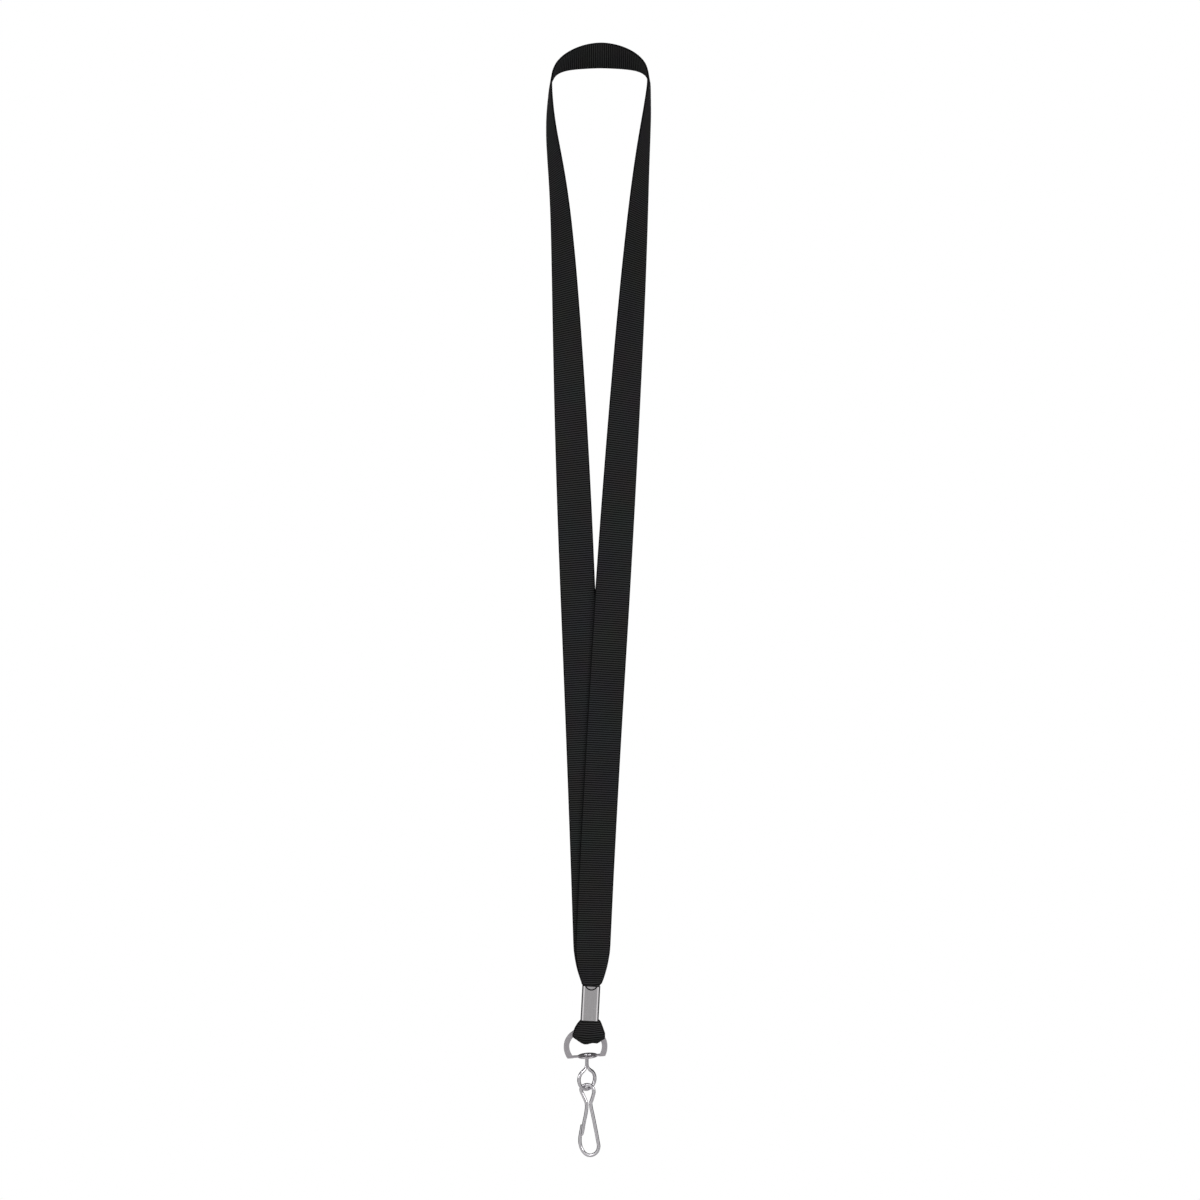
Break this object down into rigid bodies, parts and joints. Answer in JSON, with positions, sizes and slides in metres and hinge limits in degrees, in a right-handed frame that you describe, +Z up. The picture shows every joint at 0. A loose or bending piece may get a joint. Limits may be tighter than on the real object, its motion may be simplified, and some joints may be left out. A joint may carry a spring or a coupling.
{
  "type": "lanyard",
  "caption": "Flat woven neck lanyard: one strap loop gathered in a metal crimp, with a swivel head, a ring eye and a sprung wire J-hook at the bottom.",
  "frame": {"origin": "middle of the inner face of the strap where it passes behind the neck, which is what the lanyard hangs from", "axes": "+Z up, +X to the wearer's left as seen from the front, +Y away from the viewer, so the hook hangs in front at -Y"},
  "size_m": [0.049, 0.0353, 0.5093],
  "materials": {
    "woven_strap": "black polyester ribbon with close cross ribs and plain selvedges",
    "plated_sheet": "bright nickel plate on folded sheet",
    "satin_nickel": "satin nickel plate on pressed sheet",
    "plated_wire": "bright nickel plate on bent wire",
    "plated_spring_wire": "bright nickel plate on spring wire"
  },
  "bodies": {
    "strap": {"strap_neck": "woven_strap", "strap_leg_right": "woven_strap", "strap_leg_left": "woven_strap"},
    "clasp": {"strap_tails": "woven_strap", "strap_loop": "woven_strap", "crimp_sleeve": "plated_sheet"},
    "head": {"swivel_head": "satin_nickel"},
    "eye": {"swivel_eye": "plated_wire"},
    "hook": {"hook_wire": "plated_spring_wire"},
    "gate": {"hook_gate": "plated_spring_wire"}
  },
  "joints": [
    {"name": "strap_flex", "type": "hinge", "parent": "strap", "child": "clasp", "pos_m": [-0.0044, -0.0237, -0.425], "axis": [1, 0, 0], "range_deg": [-40, 40]},
    {"name": "head_swing", "type": "hinge", "parent": "clasp", "child": "head", "pos_m": [-0.007, -0.0237, -0.4469], "axis": [1, 0, 0], "range_deg": [-12, 12]},
    {"name": "eye_swivel", "type": "hinge", "parent": "head", "child": "eye", "pos_m": [-0.0064, -0.0237, -0.4581], "axis": [0, 0, 1], "continuous": true},
    {"name": "hook_swing", "type": "hinge", "parent": "eye", "child": "hook", "pos_m": [-0.0064, -0.0237, -0.47315], "axis": [0.7986, 0.6018, 0], "range_deg": [-35, 35]},
    {"name": "gate_flex", "type": "hinge", "parent": "hook", "child": "gate", "pos_m": [-0.00648, -0.0238, -0.4809], "axis": [-0.309, -0.9511, 0], "range_deg": [0, 12], "stiffness_Nm_per_rad": 0.2}
  ]
}
